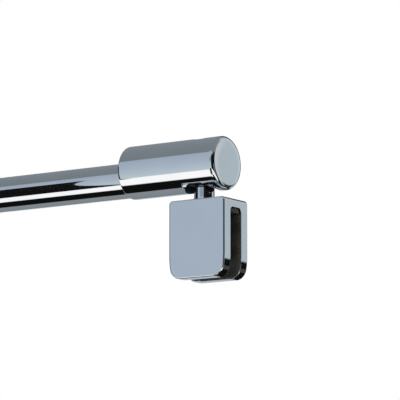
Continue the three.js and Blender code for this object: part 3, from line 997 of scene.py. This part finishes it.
PANELS = [
    (PLAIN, 200, (0.552, 0.819, 0.157), 0.960, 0.978),
    (COOL, 185, (0.552, 0.819, 0.157), 0.986, 0.997),
    (PLAIN, 195, (0.638, 0.728, 0.249), 0.9895, 0.9965),
    (PLAIN, 155, (-0.975, 0.1, -0.2), 0.94, 0.965),
]
LOW_FLAGS = [
    (PLAIN, 15, (-0.5, 0.64), (0.72, 0.92), (-0.74, 0.06)),  # dark board behind, over the panels
    (PLAIN, 15, (-0.5, 0.8), (0.2, 2), (-0.86, -0.4)),  # and its wide foot
    (PLAIN, 25, (0.76, 2), (0.25, 0.85), (-0.43, 0.06)),  # and its side
]
LOW_PANELS = [
    (PLAIN, 125, (0.975, 0.1, -0.2), 0.965, 0.985),
    (PLAIN, 65, (0.502, 0.833, -0.231), 0.982, 0.990),
]


def linear(tint, brightness):
    """A tint at a brightness on screen, as the linear values that shaders use."""
    screen = [min(part * brightness / 255, 1.0) for part in tint]
    return tuple(
        value / 12.92 if value <= 0.04045 else ((value + 0.055) / 1.055) ** 2.4
        for value in screen
    )


def add_camera():
    camera = bpy.data.objects.new("camera", bpy.data.cameras.new("camera"))
    bpy.context.scene.collection.objects.link(camera)
    direction = Vector((
        math.sin(CAMERA_AZIMUTH) * math.cos(CAMERA_ELEVATION),
        -math.cos(CAMERA_AZIMUTH) * math.cos(CAMERA_ELEVATION),
        math.sin(CAMERA_ELEVATION),
    ))
    camera.location = CAMERA_TARGET + CAMERA_DISTANCE * direction
    camera.rotation_euler = direction.to_track_quat("Z", "Y").to_euler()
    camera.data.lens = CAMERA_LENS
    camera.data.sensor_width = 36
    camera.data.clip_start = 0.01
    camera.data.clip_end = 50
    bpy.context.scene.camera = camera


class Studio(Graph):
    """The world's node tree: colours by direction, for what the metal mirrors."""

    def __init__(self, tree):
        super().__init__(tree)
        self.nodes.clear()
        self.place = self.nodes.new("ShaderNodeTexCoord").outputs["Generated"]
        split = self.nodes.new("ShaderNodeSeparateXYZ")
        self.links.new(self.place, split.inputs["Vector"])
        self.axes = [split.outputs[axis] for axis in "XYZ"]

    def step(self, value, low, high):
        """0 below one value and 1 above another, with a smooth change between them."""
        return self.span(value, 0.0, 1.0, low, high, "SMOOTHSTEP")

    def blend(self, factor, a, b):
        """One colour where the factor is 0, and another where it is 1."""
        node = self.nodes.new("ShaderNodeMix")
        node.data_type = "RGBA"
        self.links.new(factor, node.inputs["Factor"])
        self.links.new(a, node.inputs[6])
        node.inputs[7].default_value = (*b, 1.0)
        return node.outputs[2]

    def banded(self, bands):
        """Bands of colour by the direction round the bar."""
        y, z = self.axes[1:]
        angle = self.math("ARCTAN2", z, self.math("MULTIPLY", y, -1.0))
        turn = self.math("ADD", self.math("DIVIDE", angle, 2 * math.pi), 0.5)
        return self.ramp(turn, [
            ((degrees + 180) / 360, linear(tint, brightness)) for degrees, tint, brightness in bands
        ])

    def with_flags(self, colour, flags):
        for tint, brightness, *ranges in flags:
            inside = 1.0
            for value, (low, high) in zip(self.axes, ranges):
                if low > -1:
                    above = self.step(value, low - FLAG_EDGE, low + FLAG_EDGE)
                    inside = self.math("MULTIPLY", inside, above)
                if high < 1:
                    outside = self.step(value, high - FLAG_EDGE, high + FLAG_EDGE)
                    inside = self.math("MULTIPLY", inside, self.math("SUBTRACT", 1.0, outside))
            colour = self.blend(inside, colour, linear(tint, brightness))
        return colour

    def with_panels(self, colour, panels):
        for tint, brightness, direction, edge, middle in panels:
            facing = self.nodes.new("ShaderNodeVectorMath")
            facing.operation = "DOT_PRODUCT"
            self.links.new(self.place, facing.inputs[0])
            facing.inputs[1].default_value = direction
            shown = self.step(facing.outputs["Value"], edge, middle)
            colour = self.blend(shown, colour, linear(tint, brightness))
        return colour

    def light_with(self, mirrored_colour):
        """Metal mirrors the colour that is given, and everything else sees plain white."""
        plain = self.nodes.new("ShaderNodeBackground")
        plain.inputs["Color"].default_value = (*BACKDROP, 1.0)
        mirrored = self.nodes.new("ShaderNodeBackground")
        self.links.new(mirrored_colour, mirrored.inputs["Color"])
        rays = self.nodes.new("ShaderNodeLightPath")
        mix = self.nodes.new("ShaderNodeMixShader")
        self.links.new(rays.outputs["Is Glossy Ray"], mix.inputs["Fac"])
        self.links.new(plain.outputs["Background"], mix.inputs[1])
        self.links.new(mirrored.outputs["Background"], mix.inputs[2])
        output = self.nodes.new("ShaderNodeOutputWorld")
        self.links.new(mix.outputs["Shader"], output.inputs["Surface"])


def add_world():
    """A studio of long soft panels and flags round the bar."""
    world = bpy.data.worlds.new("studio")
    bpy.context.scene.world = world
    world.use_nodes = True
    studio = Studio(world.node_tree)
    colour = studio.banded(REFLECTION_BANDS)
    for flags, panels in ((FLAGS, PANELS), (LOW_FLAGS, LOW_PANELS)):
        colour = studio.with_panels(studio.with_flags(colour, flags), panels)
    studio.light_with(colour)


def add_floor():
    """A plain pale floor, well below the bar. The metal mirrors the flags, not the floor."""
    bm = bmesh.new()
    bmesh.ops.create_grid(bm, x_segments=8, y_segments=8, size=FLOOR_HALF_WIDTH)
    bm.transform(Matrix.Translation((PIVOT_X, 0, FLOOR_Z)))
    floor = object_from(bm, "floor")
    shader = Shader("pale_floor").put(Metallic=0.0)
    mottling = shader.noise(3.0, 4.0)
    tone = shader.ramp(mottling, [(0.3, (0.82, 0.82, 0.82)), (0.7, (0.835, 0.835, 0.835))])
    shader.feed("Base Color", tone)
    shader.feed("Roughness", shader.span(mottling, 0.7, 0.85, 0.3, 0.7))
    floor.data.materials.append(shader.material)
    floor.visible_glossy = False


def add_black_card():
    """A card in front of the tube, which only mirrors see. The tube shows it as a black band that
    ends just short of the head."""
    corners = [
        (CARD_LEFT, CARD_Y, CARD_BOTTOM),
        (CARD_RIGHT_BOTTOM, CARD_Y, CARD_BOTTOM),
        (CARD_RIGHT_TOP, CARD_Y, CARD_TOP),
        (CARD_LEFT, CARD_Y, CARD_TOP),
    ]
    bm = bmesh.new()
    bm.faces.new([bm.verts.new(corner) for corner in corners])
    card = object_from(bm, "black_card")
    shader = Shader("matt_black").put(Roughness=1.0, Specular_IOR_Level=0.0)
    shader.put(Base_Color=(0.006, 0.006, 0.006, 1.0))
    card.data.materials.append(shader.material)
    card.visible_camera = False
    card.visible_diffuse = False
    card.visible_shadow = False


def add_soft_light(name, place, size, power):
    light = bpy.data.lights.new(name, "AREA")
    light.shape = "SQUARE"
    light.size = size
    light.energy = power
    lamp = bpy.data.objects.new(name, light)
    bpy.context.scene.collection.objects.link(lamp)
    lamp.location = place
    lamp.rotation_euler = (Vector(place) - CAMERA_TARGET).to_track_quat("Z", "Y").to_euler()
    lamp.visible_glossy = False


# ---- build ----

cover_rose()
wall_plate()
rubber_rings()
for name in WALL_SCREWS:
    wall_screw(name)
    wall_plug(name.replace("screw", "plug"))
set_screw("tube_retaining_screw", "z", -1, M5_HEX)
support_tube()
tube_core()
head_body()
set_screw("head_set_screw", "z", 1, M6_HEX)
pivot_screw()
sleeve("pivot_bush", M6_HOLE_RADIUS, 0.15 * MM)
sleeve("pivot_washer", M6_HOLE_RADIUS, 0.1 * MM)
sleeve("neck_washer", M6_HOLE_RADIUS, 0.12 * MM, "stainless")
sleeve("clamp_neck", M6_HOLE_RADIUS, 0.35 * MM, "chrome_upright")
clamp_body()
pad("front_pad")
pad("rear_pad")
roof_pad()
pressure_plate()
set_screw("clamp_screw_upper", "y", 1, M6_HEX)
set_screw("clamp_screw_lower", "y", 1, M6_HEX)

add_camera()
add_world()
add_floor()
add_black_card()
add_soft_light("key", (0.2, -1.2, 1.4), size=1.2, power=18)
add_soft_light("fill", (1.2, 1.0, 0.9), size=1.0, power=8)
bpy.context.scene.view_settings.view_transform = "Standard"
